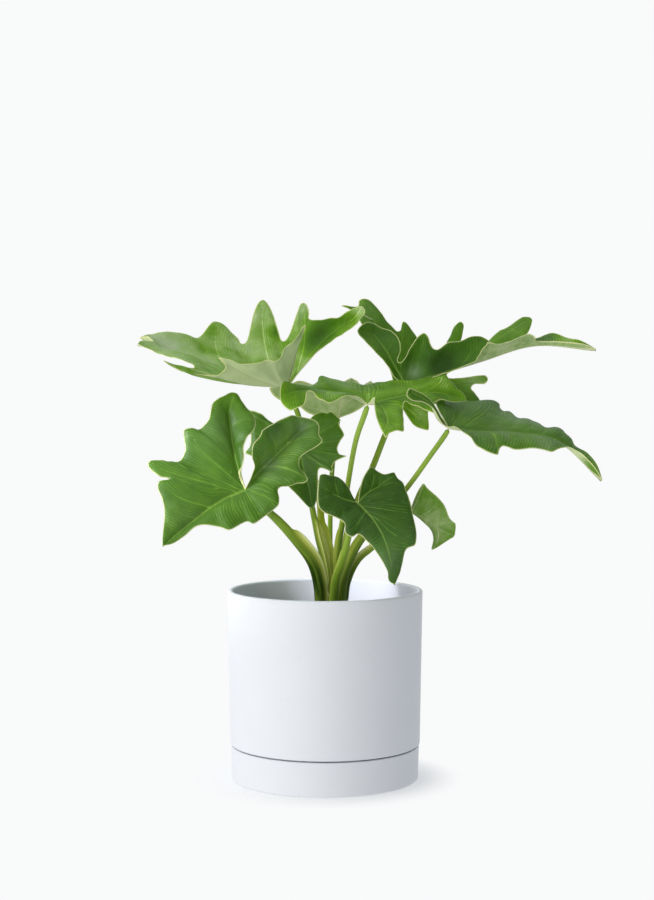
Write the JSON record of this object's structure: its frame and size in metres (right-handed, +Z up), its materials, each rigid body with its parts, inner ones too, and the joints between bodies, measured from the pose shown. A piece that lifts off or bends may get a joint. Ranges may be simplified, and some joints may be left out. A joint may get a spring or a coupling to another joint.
{
  "type": "potted philodendron",
  "caption": "Lobed tropical house plant with long-stalked wavy leaves, standing in a plain round pot on a matching saucer.",
  "frame": {"origin": "centre of the saucer's flat underside, on the pot's axis, on the surface the pot stands on", "axes": "+Z up along the pot's axis, -Y towards the plant's front, +X towards the right-hand leaves as seen from the front"},
  "size_m": [0.3542, 0.1767, 0.3722],
  "materials": {
    "ceramic": "matte, finely speckled, pale cool grey-white",
    "soil": "loose dark potting mix",
    "stem": "smooth, slightly glossy green stalk",
    "front_leaf": "satin green leaf with paler veins and a thin pale margin",
    "left_leaf": "satin green leaf with paler veins and a thin pale margin",
    "inner_leaf": "satin green leaf with paler veins and a thin pale margin",
    "middle_leaf": "satin green leaf with paler veins and a thin pale margin",
    "right_leaf": "satin green leaf with paler veins and a thin pale margin",
    "top_left_leaf": "satin green leaf with paler veins and a thin pale margin",
    "top_right_leaf": "satin green leaf with paler veins and a thin pale margin",
    "small_leaf": "satin green leaf with paler veins and a thin pale margin",
    "back_leaf": "satin green leaf with paler veins and a thin pale margin",
    "far_leaf": "satin green leaf with paler veins and a thin pale margin"
  },
  "bodies": {
    "root": {"saucer": "ceramic", "pot": "ceramic", "soil": "soil", "crown": "stem", "front_leaf_petiole": "stem", "front_leaf_blade": "front_leaf", "left_leaf_petiole": "stem", "left_leaf_blade": "left_leaf", "inner_leaf_petiole": "stem", "inner_leaf_blade": "inner_leaf", "middle_leaf_petiole": "stem", "middle_leaf_blade": "middle_leaf", "right_leaf_petiole": "stem", "right_leaf_blade": "right_leaf", "top_left_leaf_petiole": "stem", "top_left_leaf_blade": "top_left_leaf", "top_right_leaf_petiole": "stem", "top_right_leaf_blade": "top_right_leaf", "small_leaf_petiole": "stem", "small_leaf_blade": "small_leaf", "back_leaf_petiole": "stem", "back_leaf_blade": "back_leaf", "far_leaf_petiole": "stem", "far_leaf_blade": "far_leaf"}
  },
  "joints": []
}
